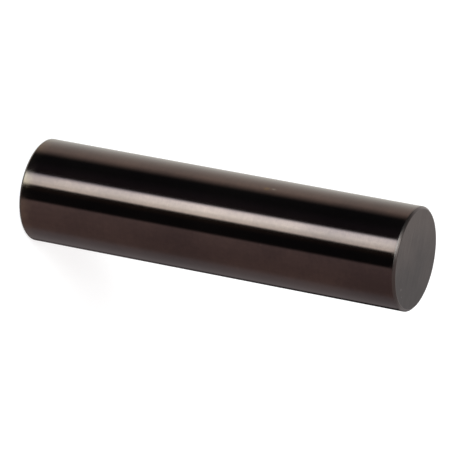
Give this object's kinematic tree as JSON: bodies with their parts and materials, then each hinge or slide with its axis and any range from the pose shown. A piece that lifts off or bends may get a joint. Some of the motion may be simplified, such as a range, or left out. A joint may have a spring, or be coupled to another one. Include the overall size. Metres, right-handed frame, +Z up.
{
  "type": "pin gauge",
  "caption": "Plain cylindrical pin gauge with a ground barrel, square flat ends and a small broken edge round each end, for checking a hole's size.",
  "frame": {"origin": "centre of the lower end face, where the pin stands on the surface plate", "axes": "+Z up the axis of the pin; X and Y are free, because the pin is round"},
  "size_m": [0.0126, 0.0126, 0.05],
  "materials": {
    "black_oxide_steel": "black oxide over hardened steel: finely ground and near mirror-bright on the barrel, matt on the end faces"
  },
  "bodies": {
    "root": {"gauge_pin": "black_oxide_steel"}
  },
  "joints": []
}
